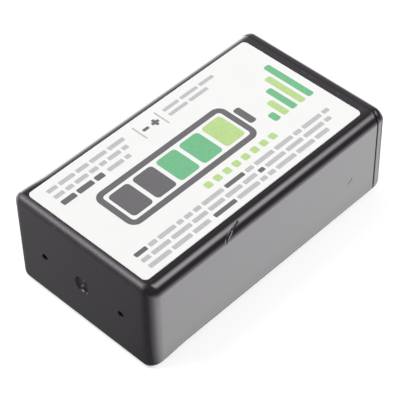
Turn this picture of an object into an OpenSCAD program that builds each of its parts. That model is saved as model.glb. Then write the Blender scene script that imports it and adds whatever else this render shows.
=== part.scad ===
// Nine volt battery: a moulded case, a terminal cap with two snaps and a stack of flat cells.
// It lies on its back with the label up. X runs along the case towards the terminals,
// Y across it and Z through its thickness. The origin is the centre of the back face.

/* [Case] */
// Length of the case without the terminals
case_len = 46; // [45:0.1:47]
// Width of the case
case_w = 26; // [25:0.1:27]
// Thickness of the case
case_t = 16; // [15:0.1:17.5]
// Thickness of the case's side walls
wall = 1.2; // [1.1:0.05:1.6]
// Thickness of the closed end
end_wall = 1.4; // [1.2:0.05:2]

/* [Edges] */
// Radius of the four edges that run along the case
side_edge_r = 1.9; // [1.3:0.1:2.4]
// Radius of the end edges that run across the case
end_edge_r = 1.05; // [0.6:0.05:1.3]
// Radius of the upright edges at the four corners
corner_edge_r = 2; // [1.3:0.1:2.4]

/* [Closed end] */
// Distance of each vent hole from the middle
vent_offset = 7.2; // [5:0.1:8]
// Diameter of a vent hole
vent_d = 0.95; // [0.6:0.05:1.4]
// Diameter of the moulding gate's recess
gate_d = 2.86; // [2:0.02:4]
// Depth of the gate's recess
gate_depth = 0.55; // [0.3:0.05:0.8]
// Diameter of the sheared gate stub
gate_stub_d = 1.1; // [0.6:0.1:1.6]
// Height of the sheared gate stub above the recess floor
gate_stub_h = 0.3; // [0.1:0.05:0.5]

/* [Terminal cap] */
// Thickness of the cap between the snaps and the leads
cap_t = 1.8; // [1.5:0.1:2.4]
// Height of the cap's rim that shows outside the case
cap_rim = 1.2; // [1.1:0.05:1.4]
// Depth of the skirt that reaches down to the cells
skirt_depth = 2.4; // [1.8:0.1:3]
// Thickness of the skirt
skirt_t = 1; // [0.8:0.1:1.2]
// Gap between the skirt and the case
skirt_gap = 0.1; // [0.05:0.05:0.15]
// Depth of the round seat under each snap
seat_depth = 0.3; // [0.1:0.05:0.5]
// Gap around a snap in its seat
seat_gap = 0.1; // [0.05:0.05:0.2]

/* [Label] */
// Length of the label
label_len = 41.85; // [30:0.05:42]
// Width of the label
label_w = 22.1; // [16:0.1:22.1]
// Thickness of the label
label_t = 0.1; // [0.05:0.05:0.2]
// Radius of the label's corners
label_r = 0.7; // [0.3:0.1:2]
// Distance from the closed end to the label
label_inset = 1.25; // [1.25:0.05:1.35]

/* [Snaps] */
// Distance between the two snaps
snap_pitch = 12.7; // [12.5:0.1:12.9]
// Thickness of the snaps' sheet metal
sheet = 0.3; // [0.25:0.05:0.35]
// Diameter of the stud's bead
stud_d = 5.75; // [5.6:0.05:5.9]
// Diameter of the stud's neck
stud_neck_d = 4.9; // [4.8:0.1:5.1]
// Diameter of the stud's flange
stud_flange_d = 7.2; // [6.6:0.1:7.6]
// Height of the stud from its seat
stud_h = 2.7; // [2.5:0.05:2.8]
// Length of the straight land on the stud's bead
stud_land = 0.5; // [0.3:0.05:0.6]
// Radius of the stud's crown
stud_crown_r = 0.5; // [0.4:0.05:0.6]
// Diameter of the well in the stud's top
stud_well_d = 3.2; // [3:0.1:3.4]
// Inside diameter of the socket's throat
socket_d = 5.7; // [5.6:0.05:5.9]
// Diameter of the socket's foot
socket_foot_d = 7.1; // [6.9:0.1:7.5]
// Height of the socket from its seat
socket_h = 2.6; // [2.5:0.05:2.8]
// Length of the straight land in the throat
throat_land = 0.5; // [0.3:0.05:0.6]
// Radius of the socket's rolled lip
lip_r = 0.7; // [0.6:0.05:0.8]
// Distance across the flats of the rolled lip
lip_flats = 8; // [7.6:0.1:8.2]
// Number of spring petals
petal_count = 6; // [5:1:8]
// Width of the slots between the petals
slot_w = 0.55; // [0.3:0.05:0.6]
// Height of the solid ring under the slots
slot_floor = 0.6; // [0.4:0.05:0.8]

/* [Rivets] */
// Diameter of a rivet's shank
shank_d = 1.8; // [1.5:0.1:2]
// Diameter of a rivet's head
rivet_head_d = 2.7; // [2.5:0.1:2.8]
// Height of a rivet's head
rivet_head_h = 0.45; // [0.3:0.05:0.5]
// Diameter of the rolled end under the cap
clinch_d = 3.6; // [3:0.1:4]
// Thickness of the rolled end
clinch_t = 0.35; // [0.25:0.05:0.5]
// Bore of the tubular rivet
rivet_bore_d = 1.1; // [0.8:0.1:1.2]
// Gap around a rivet's shank
shank_gap = 0.05; // [0.02:0.01:0.1]

/* [Cell stack] */
// Thickness of the foam pad at the closed end
pad_t = 1; // [0.6:0.1:1.5]
// Thickness of the insulating card on the stack
card_t = 0.4; // [0.3:0.1:0.6]
// Thickness of the film sleeve round the stack
film_t = 0.15; // [0.1:0.05:0.25]
// Radius of the cells' corners
cell_r = 4; // [3:0.1:4.2]
// Width of a cell's crimped shoulder
crimp = 0.9; // [0.6:0.1:1.2]
// Height of a cell's lid above its can
lid_h = 0.25; // [0.15:0.05:0.4]
// Depth of the crimp groove round a cell
groove_depth = 0.2; // [0.1:0.05:0.3]
// Width of the crimp groove
groove_w = 0.5; // [0.3:0.05:0.8]
// Gap round a cell in the film sleeve
cell_gap = 0.05; // [0.02:0.01:0.1]
// Gap between the stack and the case
stack_gap = 0.2; // [0.1:0.05:0.3]

/* [Links and leads] */
// Thickness of the nickel strip
strip_t = 0.15; // [0.1:0.05:0.2]
// Width of a lead
lead_w = 4; // [3:0.1:4.4]
// Length of a link between two cells
link_len = 9; // [6:0.5:12]
// Width of a link between two cells
link_w = 5; // [4:0.5:7]
// Length of the weld slit in a link
slit_len = 4; // [2:0.5:5]
// Width of the weld slit in a link
slit_w = 0.4; // [0.2:0.05:0.6]
// Place across the stack where the short lead rises
riser_y = 1; // [0:0.1:2]
// Length of a lead's welded foot
foot_len = 6; // [4:0.5:8]
// Clearance round a lead in a slot or notch
lead_gap = 0.3; // [0.2:0.05:0.5]

/* [Hidden] */
$fn = 96;
over = 0.5;
cell_count = 7;
link_count = cell_count - 1;
mid_z = case_t / 2;

// Stations along the case, from the closed end to the terminals.
closed_x = -case_len / 2;
open_x = case_len / 2;
floor_x = closed_x + end_wall;
rim_x = open_x - cap_rim;
cap_inner_x = open_x - cap_t;
card_top_x = cap_inner_x - skirt_depth;
stack_top_x = card_top_x - card_t - strip_t;
stack_base_x = floor_x + pad_t + strip_t;
seat_x = open_x - seat_depth;

// Inside of the case.
cavity_w = case_w - 2 * wall;
cavity_t = case_t - 2 * wall;
cavity_side_r = max(side_edge_r - wall, 0.1);
cavity_corner_r = max(corner_edge_r - wall, 0.1);
plug_w = cavity_w - 2 * skirt_gap;
plug_t = cavity_t - 2 * skirt_gap;

// The stack fills the room between the pad and the card, and one strip runs up its side.
cell_w = cavity_w - 2 * (stack_gap + strip_t + film_t + cell_gap);
cell_h = cavity_t - 2 * (stack_gap + film_t + cell_gap);
cell_pitch = (stack_top_x - stack_base_x + strip_t) / cell_count;
cell_len = cell_pitch - strip_t;
sleeve_half_w = cell_w / 2 + cell_gap + film_t;
pad_w = min(cell_w, cavity_w - 2 * cavity_corner_r);

// Snaps and rivets.
positive_y = -snap_pitch / 2;
negative_y = snap_pitch / 2;
shank_hole_d = shank_d + 2 * shank_gap;
rivet_grip = cap_t - seat_depth + strip_t;
bead_low = stud_h - stud_crown_r - stud_land;
throat_r = socket_d / 2;
throat_high = socket_h - lip_r;
throat_low = throat_high - throat_land;

// Flat rectangle with round corners, centred.
module rounded_rect(w, h, r) {
    square([w - 2 * r, h], center = true);
    square([w, h - 2 * r], center = true);
    for (sx = [-1, 1], sy = [-1, 1])
        translate([sx * (w / 2 - r), sy * (h / 2 - r)])
            circle(r);
}

// Extrudes a flat shape along X, with its x across the case and its y up from mid thickness.
module along_x(from, to) {
    translate([from, 0, mid_z])
        rotate([90, 0, 90])
            linear_extrude(height = to - from)
                children();
}

// Stands a turned piece on the terminal end, with its own Z pointing out of the case.
module on_terminal_end(y) {
    translate([seat_x, y, mid_z])
        rotate([0, 90, 0])
            children();
}

// Outside of the closed case between two stations, rounded in all three views.
module case_block(from, to) {
    intersection() {
        linear_extrude(height = case_t)
            rounded_rect(case_len, case_w, corner_edge_r);
        along_x(closed_x, open_x)
            rounded_rect(case_w, case_t, side_edge_r);
        translate([0, case_w / 2, mid_z])
            rotate([90, 0, 0])
                linear_extrude(height = case_w)
                    rounded_rect(case_len, case_t, end_edge_r);
        translate([from, -case_w / 2 - over, -over])
            cube([to - from, case_w + 2 * over, case_t + 2 * over]);
    }
}

// Room inside the case, open at the terminal end.
module cavity() {
    intersection() {
        along_x(floor_x, open_x + over)
            rounded_rect(cavity_w, cavity_t, cavity_side_r);
        translate([floor_x + case_len / 2, 0, 0])
            linear_extrude(height = case_t)
                rounded_rect(case_len, cavity_w, cavity_corner_r);
    }
}

// Moulded case with two vents and the sheared gate in its closed end.
module housing() {
    color("#232326") {
        difference() {
            case_block(closed_x, rim_x);
            cavity();
            for (side = [-1, 1])
                translate([closed_x - over, side * vent_offset, mid_z])
                    rotate([0, 90, 0])
                        cylinder(d = vent_d, h = end_wall + 2 * over);
            translate([closed_x - over, 0, mid_z])
                rotate([0, 90, 0])
                    cylinder(d = gate_d, h = gate_depth + over);
        }
        translate([closed_x + gate_depth - gate_stub_h, 0, mid_z])
            rotate([0, 90, 0])
                cylinder(d = gate_stub_d, h = gate_stub_h + (end_wall - gate_depth) / 2);
    }
}

// Cap that closes the case, with a seat and a hole for each snap and a notch for the long lead.
module end_cap() {
    color("#2a2a2d")
        difference() {
            union() {
                case_block(rim_x, open_x);
                along_x(cap_inner_x, rim_x)
                    rounded_rect(plug_w, plug_t, cavity_side_r);
                along_x(card_top_x, cap_inner_x)
                    difference() {
                        rounded_rect(plug_w, plug_t, cavity_side_r);
                        square([plug_w - 2 * skirt_t, plug_t - 2 * skirt_t], center = true);
                    }
            }
            on_terminal_end(positive_y)
                cylinder(d = stud_flange_d + 2 * seat_gap, h = seat_depth + over);
            on_terminal_end(negative_y)
                cylinder(d = socket_foot_d + 2 * seat_gap, h = seat_depth + over);
            for (y = [positive_y, negative_y])
                on_terminal_end(y)
                    translate([0, 0, -cap_t])
                        cylinder(d = shank_hole_d, h = cap_t + over);
            translate([card_top_x - over, plug_w / 2 - skirt_t - over, mid_z - lead_w / 2 - lead_gap])
                cube([skirt_depth + over, skirt_t + 2 * over, lead_w + 2 * lead_gap]);
        }
}

// Sticker on the front face.
module label() {
    color("#f6f6f3")
        translate([closed_x + label_inset + label_len / 2, 0, case_t])
            linear_extrude(height = label_t)
                rounded_rect(label_len, label_w, label_r);
}

// Section of the stud's outer skin, or of its hollow when inset by the sheet.
module stud_skin(inset) {
    neck_r = stud_neck_d / 2 - inset;
    bead_r = stud_d / 2 - inset;
    crown = stud_crown_r - inset;
    under = bead_low - (bead_r - neck_r) + inset;
    square([neck_r, stud_h - stud_crown_r]);
    polygon([[0, under], [neck_r, under], [bead_r, bead_low + inset], [0, bead_low + inset]]);
    translate([0, bead_low + inset])
        square([bead_r, stud_land - inset]);
    square([bead_r - crown, stud_h - inset]);
    translate([bead_r - crown, stud_h - stud_crown_r])
        circle(crown);
}

// Male stud, drawn from sheet, with a well in its top for the rivet.
module positive_snap() {
    well_r = stud_well_d / 2;
    color("#c8c8c4")
        on_terminal_end(positive_y)
            rotate_extrude()
                difference() {
                    union() {
                        difference() {
                            union() {
                                stud_skin(0);
                                square([stud_flange_d / 2, sheet]);
                            }
                            stud_skin(sheet);
                        }
                        square([well_r + sheet, stud_h - sheet / 2]);
                    }
                    translate([0, sheet])
                        square([well_r, stud_h]);
                    square([shank_hole_d / 2, stud_h]);
                    translate([well_r, stud_h - sheet])
                        difference() {
                            square(sheet);
                            translate([sheet, 0])
                                circle(sheet);
                        }
                }
}

// Section of the socket: foot, wall drawn in to the throat, and the lip rolled outwards.
module socket_section() {
    foot_r = socket_foot_d / 2;
    translate([shank_hole_d / 2, 0])
        square([foot_r - shank_hole_d / 2, sheet]);
    polygon([
        [foot_r - sheet, 0],
        [foot_r, 0],
        [foot_r, slot_floor],
        [throat_r + sheet, throat_low],
        [throat_r, throat_low],
        [foot_r - sheet, slot_floor]
    ]);
    translate([throat_r, throat_low])
        square([sheet, throat_land]);
    translate([throat_r + lip_r, throat_high])
        difference() {
            circle(lip_r);
            circle(lip_r - sheet);
            translate([-lip_r - over, -lip_r - over])
                square([2 * (lip_r + over), lip_r + over]);
        }
}

// Female socket: a crown of spring petals with a straight edge on each.
module negative_snap() {
    reach = throat_r + 2 * lip_r + over;
    flats_d = lip_flats / cos(180 / petal_count);
    color("#c8c8c4")
        on_terminal_end(negative_y)
            difference() {
                intersection() {
                    rotate_extrude()
                        socket_section();
                    cylinder(d = flats_d, h = socket_h, $fn = petal_count);
                }
                for (i = [0 : petal_count - 1])
                    rotate([0, 0, i * 360 / petal_count])
                        translate([0, -slot_w / 2, slot_floor])
                            cube([reach, slot_w, socket_h]);
            }
}

// Tubular rivet: domed head in the snap, rolled end on the lead under the cap.
module rivet(y) {
    head_r = rivet_head_d / 2;
    clinch_r = clinch_d / 2;
    color("#b9b9b4")
        on_terminal_end(y)
            rotate_extrude()
                difference() {
                    union() {
                        translate([0, sheet]) {
                            square([head_r - rivet_head_h, rivet_head_h]);
                            intersection() {
                                square([head_r, rivet_head_h]);
                                translate([head_r - rivet_head_h, 0])
                                    circle(rivet_head_h);
                            }
                        }
                        translate([0, -rivet_grip - clinch_t])
                            square([shank_d / 2, rivet_grip + clinch_t + sheet]);
                        translate([0, -rivet_grip - clinch_t])
                            square([clinch_r - clinch_t / 2, clinch_t]);
                        translate([clinch_r - clinch_t / 2, -rivet_grip - clinch_t / 2])
                            circle(clinch_t / 2);
                    }
                    translate([0, -rivet_grip - clinch_t - over])
                        square([rivet_bore_d / 2, rivet_grip + clinch_t + over]);
                }
}

module positive_rivet() {
    rivet(positive_y);
}

module negative_rivet() {
    rivet(negative_y);
}

// Flat sealed cell: a can with a crimp groove, and a lid that stands above its shoulder.
module cell(i) {
    base_x = stack_base_x + (i - 1) * cell_pitch;
    can_x = base_x + cell_len - lid_h;
    color("#b4b6b8")
        union() {
            difference() {
                along_x(base_x, can_x)
                    rounded_rect(cell_w, cell_h, cell_r);
                along_x(can_x - 2 * groove_w, can_x - groove_w)
                    difference() {
                        square([cell_w + over, cell_h + over], center = true);
                        rounded_rect(cell_w - 2 * groove_depth, cell_h - 2 * groove_depth, cell_r - groove_depth);
                    }
            }
            along_x(can_x, can_x + lid_h)
                rounded_rect(cell_w - 2 * crimp, cell_h - 2 * crimp, cell_r - crimp);
        }
}

// Nickel tab welded between a cell's lid and the next cell's can.
module cell_link(i) {
    link_x = stack_base_x + i * cell_pitch - strip_t;
    color("#d2cfc6")
        along_x(link_x, link_x + strip_t)
            difference() {
                square([link_len, link_w], center = true);
                square([slit_len, slit_w], center = true);
            }
}

// Flat eye at a lead's end, held by a rivet.
module lead_eye(y) {
    along_x(cap_inner_x - strip_t, cap_inner_x)
        translate([y, 0])
            circle(d = max(clinch_d, lead_w));
}

// Hole through a lead's eye for the rivet.
module eye_hole(y) {
    along_x(cap_inner_x - strip_t - over, cap_inner_x + over)
        translate([y, 0])
            circle(d = shank_hole_d);
}

// Part of a lead: a strip of lead_w with its outline given in the XY plane.
module lead_strip() {
    translate([0, 0, mid_z - lead_w / 2])
        linear_extrude(height = lead_w)
            children();
}

// Short lead from the top cell's lid, folded up and back under the stud.
module positive_lead() {
    color("#d2cfc6")
        difference() {
            union() {
                lead_strip() {
                    translate([stack_top_x, riser_y - foot_len])
                        square([strip_t, foot_len + strip_t]);
                    translate([stack_top_x, riser_y])
                        square([cap_inner_x - stack_top_x, strip_t]);
                    translate([cap_inner_x - strip_t, positive_y])
                        square([strip_t, riser_y + strip_t - positive_y]);
                }
                lead_eye(positive_y);
            }
            eye_hole(positive_y);
        }
}

// Long lead from the bottom cell's can, up the side of the stack to the socket.
module negative_lead() {
    foot_x = stack_base_x - strip_t;
    color("#d2cfc6")
        difference() {
            union() {
                lead_strip() {
                    translate([foot_x, sleeve_half_w - foot_len])
                        square([strip_t, foot_len + strip_t]);
                    translate([foot_x, sleeve_half_w])
                        square([cap_inner_x - foot_x, strip_t]);
                    translate([cap_inner_x - strip_t, negative_y])
                        square([strip_t, sleeve_half_w + strip_t - negative_y]);
                }
                lead_eye(negative_y);
            }
            eye_hole(negative_y);
        }
}

// Shrunk film round the cells, open at both ends.
module stack_sleeve() {
    color("#3f7fae")
        along_x(stack_base_x, stack_top_x)
            difference() {
                rounded_rect(
                    cell_w + 2 * (cell_gap + film_t),
                    cell_h + 2 * (cell_gap + film_t),
                    cell_r + cell_gap + film_t
                );
                rounded_rect(cell_w + 2 * cell_gap, cell_h + 2 * cell_gap, cell_r + cell_gap);
            }
}

// Insulating card on the top cell, with a slot for the short lead.
module top_card() {
    color("#c9a86a")
        along_x(card_top_x - card_t, card_top_x)
            difference() {
                rounded_rect(cell_w, cell_h, cell_r);
                translate([riser_y + strip_t / 2, 0])
                    square([strip_t + 2 * lead_gap, lead_w + 2 * lead_gap], center = true);
            }
}

// Foam pad between the closed end and the bottom cell.
module bottom_pad() {
    color("#8d8d92")
        along_x(floor_x, floor_x + pad_t)
            rounded_rect(pad_w, cell_h, cell_r);
}

housing();
end_cap();
label();
positive_snap();
negative_snap();
positive_rivet();
negative_rivet();
for (i = [1 : cell_count])
    cell(i);
for (i = [1 : link_count])
    cell_link(i);
positive_lead();
negative_lead();
stack_sleeve();
top_card();
bottom_pad();
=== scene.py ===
# Looks of the nine volt battery: its case, cap, label and metal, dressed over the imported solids.
# Lengths are in millimetres until a mesh is made. X runs along the case towards the terminals,
# Y across it and Z up through the label, as in the solids.
import math
import random

import bmesh
import bpy
from mathutils import Matrix, Vector


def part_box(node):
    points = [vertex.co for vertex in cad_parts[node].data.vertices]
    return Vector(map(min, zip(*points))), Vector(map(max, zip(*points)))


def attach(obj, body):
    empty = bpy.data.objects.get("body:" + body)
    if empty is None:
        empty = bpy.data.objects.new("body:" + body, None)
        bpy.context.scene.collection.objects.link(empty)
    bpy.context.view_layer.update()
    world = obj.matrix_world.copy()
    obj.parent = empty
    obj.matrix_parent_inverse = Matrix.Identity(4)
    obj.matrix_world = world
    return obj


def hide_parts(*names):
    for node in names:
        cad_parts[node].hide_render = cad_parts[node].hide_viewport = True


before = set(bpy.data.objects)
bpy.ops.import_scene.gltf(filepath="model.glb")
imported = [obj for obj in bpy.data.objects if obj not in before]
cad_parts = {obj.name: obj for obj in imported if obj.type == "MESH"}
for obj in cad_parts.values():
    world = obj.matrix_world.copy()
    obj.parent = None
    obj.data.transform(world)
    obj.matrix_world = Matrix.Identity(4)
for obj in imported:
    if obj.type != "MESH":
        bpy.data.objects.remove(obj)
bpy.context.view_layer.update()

MM = 0.001
SHARP_ANGLE = math.radians(32)
random.seed(9)


def box_mm(node):
    """Lowest and highest corner of a solid, in millimetres."""
    low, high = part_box(node)
    return low / MM, high / MM


# Sizes read from the solids
housing_low, housing_high = box_mm("housing")
cap_low, cap_high = box_mm("end_cap")
label_low, label_high = box_mm("label")
CLOSED_X = housing_low.x
SEAM_X = housing_high.x - 0.62
OPEN_X = cap_high.x
SKIRT_X = cap_low.x
HALF_W = housing_high.y
CASE_T = housing_high.z
MID_Z = CASE_T / 2
POSITIVE_Y, NEGATIVE_Y = (
    sum(corner.y for corner in box_mm(rivet)) / 2 for rivet in ("positive_rivet", "negative_rivet"))
stud_low, stud_high = box_mm("positive_snap")
SEAT_X = stud_low.x
STUD_FLANGE_D = stud_high.y - stud_low.y

# Edges of the case: the long ones, those across the ends and the upright corners
SIDE_EDGE_R = 1.9
BOTTOM_SIDE_EDGE_R = 2.4
END_EDGE_R = 1.05
CAP_EDGE_R = 0.9
CAP_TOP_EDGE_R = 0.99
CAP_CORNER_DROP = 0.2
FRONT_CORNER_R = 2.0
BACK_CORNER_R = 1.55
EDGE_GROWTH = 4.5
EDGE_MARGIN = 0.08
STRAIGHT_SIDE = 0.9999
FIRST_TURN = 0.04

# Fineness of the case's mesh. Side rows lie at shares of the height, the last ones as (from, to, count)
CORNER_STEPS = 28
FILLET_STEPS = 26
CAP_CORNER_STEPS = 24
PLAIN_STEP = 0.8
PAST_END = 4
SIDE_SHARES = [0.02, 0.2, 0.5, 0.8, 0.93]
GOUGED_SIDE_SHARES = (0.95, 0.998, 10)
GOUGED_EDGE_ROWS = 42
PLAIN_EDGE_ROWS = 14

# Slot of the seam in the cap's edge, deep at the sides and slight on the faces
SEAM_W = 0.36
SEAM_FLANK = 0.16
SEAM_SIDE_DEPTH = 0.34
SEAM_FACE_DEPTH = 0.02
SEAM_FLANK_SHARES = (1.0, 0.3, 0.0)

# Inside of the case, as the solids have it
WALL = 1.2
END_WALL = 1.4
CAVITY_R = 0.8
CAVITY_HALF_W = HALF_W - WALL
CAVITY_HALF_T = MID_Z - WALL
SKIRT_GAP = 0.1
SKIRT_T = 1.0
PLUG_DEPTH = 0.6
PLUG_OVERLAP = 0.2
HOLLOW_R = 0.4
SEAT_GAP = 0.1
SEAT_CHAMFER = 0.08
SHANK_HOLE_D = 1.9
NOTCH_W = 4.6
NOTCH_REACH = 0.5
TOOL_REACH = 1

# Closed end
END_MARKS_Z = MID_Z - 0.36
VENT_OFFSET = 7.25
VENT_D = 1.06
VENT_FLARE = 0.05
VENT_TOOL_OUT, VENT_TOOL_PAST_WALL = 0.6, 0.4

# Moulding gate, with its pits as (y, z, radius, depth) and burrs as (y, z, y, z, half width, height)
GATE_D = 2.86
GATE_DEPTH = 0.3
GATE_LEAST_DEPTH = 0.02
GATE_WALL = 0.3
GATE_FLARE = 0.5
GATE_MIDDLE_R = 0.04
GATE_RIPPLE = 0.02
GATE_STEPS = 96
PIT_FLOOR_SHARE = 0.6
PIT_WALL_SHARE = 0.5
GATE_PITS = [(0.42, 0.3, 1.0, 0.14)]
GATE_BURRS = [(-0.28, 0.9, -0.78, 0.64, 0.2, 0.3), (0.3, -0.6, -0.36, -0.98, 0.2, 0.28)]


def finish_mesh(name, bm):
    """Turns a bmesh in millimetres into a mesh in metres with faces turned outwards."""
    bmesh.ops.recalc_face_normals(bm, faces=bm.faces)
    bm.transform(Matrix.Scale(MM, 4))
    mesh = bpy.data.meshes.new(name)
    bm.to_mesh(mesh)
    bm.free()
    return mesh


def new_object(name, bm):
    """Adds a bmesh to the scene as a piece."""
    piece = bpy.data.objects.new(name, finish_mesh(name, bm))
    bpy.context.scene.collection.objects.link(piece)
    return piece


def apply_modifiers(piece):
    """Gives the piece the mesh that its modifiers make."""
    bpy.context.view_layer.update()
    graph = bpy.context.evaluated_depsgraph_get()
    shape = bpy.data.meshes.new_from_object(piece.evaluated_get(graph))
    piece.modifiers.clear()
    piece.data = shape


def combine(piece, bm, operation="DIFFERENCE"):
    """Cuts a tool, given as a bmesh, out of the piece or joins it on."""
    tool = new_object("tool", bm)
    modifier = piece.modifiers.new("combine", "BOOLEAN")
    modifier.operation = operation
    modifier.solver = "EXACT"
    modifier.object = tool
    apply_modifiers(piece)
    bpy.data.objects.remove(tool)


def smooth_shade(piece):
    """Smooth faces with crisp edges, and flat faces that stay flat."""
    piece.data.shade_smooth()
    piece.data.set_sharp_from_angle(angle=SHARP_ANGLE)
    modifier = piece.modifiers.new("normals", "WEIGHTED_NORMAL")
    modifier.keep_sharp = True
    modifier.weight = 80
    apply_modifiers(piece)


def dress(piece, material, replaced=()):
    """Gives a piece its material and body, and hides the solids it stands for."""
    piece.data.materials.clear()
    piece.data.materials.append(material)
    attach(piece, "root")
    if replaced:
        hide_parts(*replaced)


def smoothstep(value):
    """Smooth rise from 0 to 1 as the value goes from 0 to 1."""
    value = min(max(value, 0.0), 1.0)
    return value * value * (3 - 2 * value)


def spread(start, end, count):
    """Evenly spread numbers from start to end, both included."""
    return [start + (end - start) * i / (count - 1) for i in range(count)]


def rounded_outline(half_a, half_b, radius, steps=10):
    """Points round a flat rectangle with round corners, anticlockwise."""
    points = []
    for quarter in range(4):
        sign_a = (1, -1, -1, 1)[quarter]
        sign_b = (1, 1, -1, -1)[quarter]
        for angle in spread(quarter * math.pi / 2, (quarter + 1) * math.pi / 2, steps + 1):
            points.append((
                sign_a * (half_a - radius) + radius * math.cos(angle),
                sign_b * (half_b - radius) + radius * math.sin(angle),
            ))
    return points


def bridge(bm, rings, closed_ends=True):
    """Joins rings of points with faces, and closes both ends if asked to."""
    loops = [[bm.verts.new(point) for point in ring] for ring in rings]
    for lower, upper in zip(loops, loops[1:]):
        for i in range(len(lower)):
            j = (i + 1) % len(lower)
            bm.faces.new((lower[i], lower[j], upper[j], upper[i]))
    if closed_ends:
        bm.faces.new(list(reversed(loops[0])))
        bm.faces.new(loops[-1])


def block_along_x(from_x, to_x, half_w, half_t, radius):
    """Block along the case with round long edges, centred on the case's thickness."""
    bm = bmesh.new()
    outline = rounded_outline(half_w, half_t, radius)
    bridge(bm, [[(x, y, MID_Z + z) for y, z in outline] for x in (from_x, to_x)])
    return bm


def turned_along_x(profile, y, z, steps=48):
    """Solid turned about a line along X. The profile is a list of (x, radius)."""
    bm = bmesh.new()
    rings = []
    for x, radius in profile:
        turns = spread(0, 2 * math.pi, steps + 1)[:-1]
        rings.append([(x, y + radius * math.cos(turn), z + radius * math.sin(turn)) for turn in turns])
    bridge(bm, rings)
    return bm


# Long scratch that was gouged across the front edge, as (x, degrees down from the top, half width)
GOUGE_PATH = [
    (-6.1, 36.6, 0.05), (-6.85, 41.0, 0.08), (-7.47, 44.8, 0.09), (-7.73, 47.6, 0.10),
    (-8.4, 59.1, 0.12), (-8.86, 67.5, 0.13), (-9.0, 78.0, 0.11), (-9.07, 89.0, 0.06),
]
GOUGE_DEPTH = 0.1
GOUGE_BURR = 0.02
BURR_PLACE = 1.35
BURR_SPREAD = 0.4
BURR_FAR_SHARE = 0.45
GOUGE_RANGE = (-9.6, -5.8)
GOUGE_STEP = 0.042
GOUGE_MARGIN_DEGREES = 3
STEPS_BEFORE_GOUGE = 16
STEPS_AFTER_GOUGE = 18

# Curls of torn plastic beside the gouge, in the same terms
GOUGE_CURLS = {
    "gouge_curl_upper": [(-6.5, 35.0, 0.03), (-6.97, 38.0, 0.06), (-7.45, 41.0, 0.04)],
    "gouge_curl_lower": [
        (-7.5, 48.5, 0.04), (-7.86, 59.3, 0.08), (-8.28, 65.1, 0.10), (-8.6, 72.0, 0.08), (-8.72, 77.0, 0.03),
    ],
    "gouge_curl_end": [(-9.02, 62.0, 0.03), (-9.14, 68.0, 0.08), (-9.28, 76.0, 0.09), (-9.2, 84.0, 0.03)],
}
CURL_HEIGHT = 0.8
CURL_SINK = 0.01
CURL_STEPS = 5
CURL_SIDES = 10


def gouge_points():
    """The gouge's middle line on the rounded edge, as (x, distance over the edge, half width)."""
    return [(x, math.radians(degrees) * SIDE_EDGE_R, half) for x, degrees, half in GOUGE_PATH]


def gouge_offset(x, over_edge):
    """How far the rounded edge's surface moves: inwards in the gouge, outwards at its burr."""
    best = None
    path = gouge_points()
    for (x0, s0, w0), (x1, s1, w1) in zip(path, path[1:]):
        dx, ds = x1 - x0, s1 - s0
        share = ((x - x0) * dx + (over_edge - s0) * ds) / (dx * dx + ds * ds)
        share = min(max(share, 0.0), 1.0)
        off_x, off_s = x - x0 - share * dx, over_edge - s0 - share * ds
        distance = math.hypot(off_x, off_s)
        half = w0 + share * (w1 - w0)
        side = 1 if dx * off_s - ds * off_x > 0 else -1
        if best is None or distance / half < best[0]:
            best = (distance / half, side)
    ratio, side = best
    groove = -GOUGE_DEPTH * (1 - smoothstep(ratio))
    burr = GOUGE_BURR * math.exp(-((ratio - BURR_PLACE) / BURR_SPREAD) ** 2)
    return groove + burr * (1.0 if side > 0 else BURR_FAR_SHARE)


def plan_stations():
    """Places round the case seen from above, as (x, y, normal angle), running on past the end."""
    past_end = OPEN_X + PAST_END
    corners = [
        (past_end - FRONT_CORNER_R, HALF_W - FRONT_CORNER_R, FRONT_CORNER_R),
        (CLOSED_X + BACK_CORNER_R, HALF_W - BACK_CORNER_R, BACK_CORNER_R),
        (CLOSED_X + FRONT_CORNER_R, FRONT_CORNER_R - HALF_W, FRONT_CORNER_R),
        (past_end - FRONT_CORNER_R, FRONT_CORNER_R - HALF_W, FRONT_CORNER_R),
    ]
    stations = []
    for index, (cx, cy, radius) in enumerate(corners):
        turn = index * math.pi / 2
        for angle in spread(turn, turn + math.pi / 2, CORNER_STEPS + 1):
            stations.append((cx + radius * math.cos(angle), cy + radius * math.sin(angle), angle))
        x0, y0, angle = stations[-1]
        nx, ny, next_radius = corners[(index + 1) % 4]
        x1, y1 = nx + next_radius * math.cos(angle), ny + next_radius * math.sin(angle)
        if index == 2:
            places = spread(x0, GOUGE_RANGE[0], STEPS_BEFORE_GOUGE)[1:]
            count = round((GOUGE_RANGE[1] - GOUGE_RANGE[0]) / GOUGE_STEP)
            places += spread(GOUGE_RANGE[0], GOUGE_RANGE[1], count)[1:]
            places += spread(GOUGE_RANGE[1], x1, STEPS_AFTER_GOUGE)[1:-1]
            stations += [(x, y0, angle) for x in places]
        else:
            count = max(3, round(math.hypot(x1 - x0, y1 - y0) / PLAIN_STEP))
            for share in spread(0, 1, count)[1:-1]:
                stations.append((x0 + share * (x1 - x0), y0 + share * (y1 - y0), angle))
    return stations


def edge_radius(full, x, y, normal):
    """Radius of the edge at a place: the end's, growing round the corner and a way along the side."""
    corner = BACK_CORNER_R if y > 0 else FRONT_CORNER_R
    reached = min(full, corner - EDGE_MARGIN)
    sideways = math.asin(min(abs(normal.y), 1.0)) / (math.pi / 2)
    radius = END_EDGE_R + (reached - END_EDGE_R) * smoothstep(sideways)
    if abs(normal.y) > STRAIGHT_SIDE:
        radius += (full - reached) * smoothstep((x - CLOSED_X - corner) / EDGE_GROWTH)
    return radius


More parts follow.
